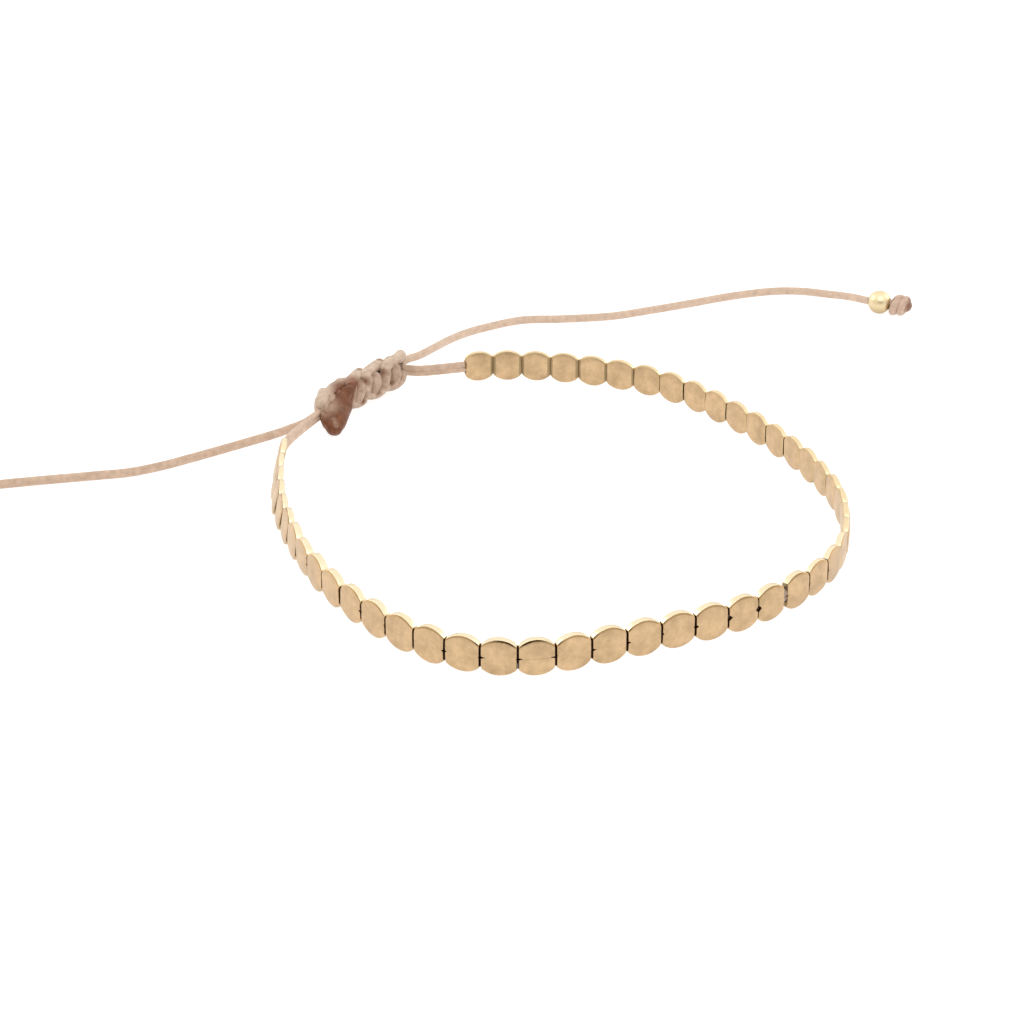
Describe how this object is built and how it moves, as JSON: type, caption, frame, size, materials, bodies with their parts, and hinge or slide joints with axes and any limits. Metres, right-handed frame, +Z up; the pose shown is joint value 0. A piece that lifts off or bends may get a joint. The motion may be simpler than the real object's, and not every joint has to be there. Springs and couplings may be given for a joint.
{
  "type": "beaded cord bracelet",
  "caption": "Adjustable bracelet of flat gold barrel beads in one row on a tan cord, closed by a sliding knot, with two ball-ended tails.",
  "frame": {"origin": "on the surface it lies on, under the middle of the bead loop and its knot, the loose tails left out", "axes": "+Z up from the surface; +Y away from the viewer across the loop's longer way; +X to the viewer's right"},
  "size_m": [0.1398, 0.095, 0.0041],
  "materials": {
    "gold_bead": "satin gold plate with a polished rim",
    "gold_ball": "polished gold plate",
    "tan_cord": "satin nylon cord",
    "melted_cord": "glossy melted nylon"
  },
  "bodies": {
    "root": {"bead_01": "gold_bead", "bead_02": "gold_bead", "bead_03": "gold_bead", "bead_04": "gold_bead", "bead_05": "gold_bead", "bead_06": "gold_bead", "bead_07": "gold_bead", "bead_08": "gold_bead", "bead_09": "gold_bead", "bead_10": "gold_bead", "bead_11": "gold_bead", "bead_12": "gold_bead", "bead_13": "gold_bead", "bead_14": "gold_bead", "bead_15": "gold_bead", "bead_16": "gold_bead", "bead_17": "gold_bead", "bead_18": "gold_bead", "bead_19": "gold_bead", "bead_20": "gold_bead", "bead_21": "gold_bead", "bead_22": "gold_bead", "bead_23": "gold_bead", "bead_24": "gold_bead", "bead_25": "gold_bead", "bead_26": "gold_bead", "bead_27": "gold_bead", "bead_28": "gold_bead", "bead_29": "gold_bead", "bead_30": "gold_bead", "bead_31": "gold_bead", "bead_32": "gold_bead", "bead_33": "gold_bead", "bead_34": "gold_bead", "bead_35": "gold_bead", "bead_36": "gold_bead", "bead_37": "gold_bead", "bead_38": "gold_bead", "bead_39": "gold_bead", "bead_40": "gold_bead", "bead_41": "gold_bead", "bead_42": "gold_bead", "bead_43": "gold_bead", "bead_44": "gold_bead", "bead_45": "gold_bead", "bead_46": "gold_bead", "bead_47": "gold_bead", "bead_48": "gold_bead", "strand_cord": "tan_cord", "slide_knot": "tan_cord", "singed_end": "melted_cord", "tail_right": "tan_cord", "tail_left": "tan_cord", "tail_ball_right": "gold_ball", "tail_ball_left": "gold_ball", "end_knot_right": "tan_cord", "end_knot_left": "tan_cord"}
  },
  "joints": []
}
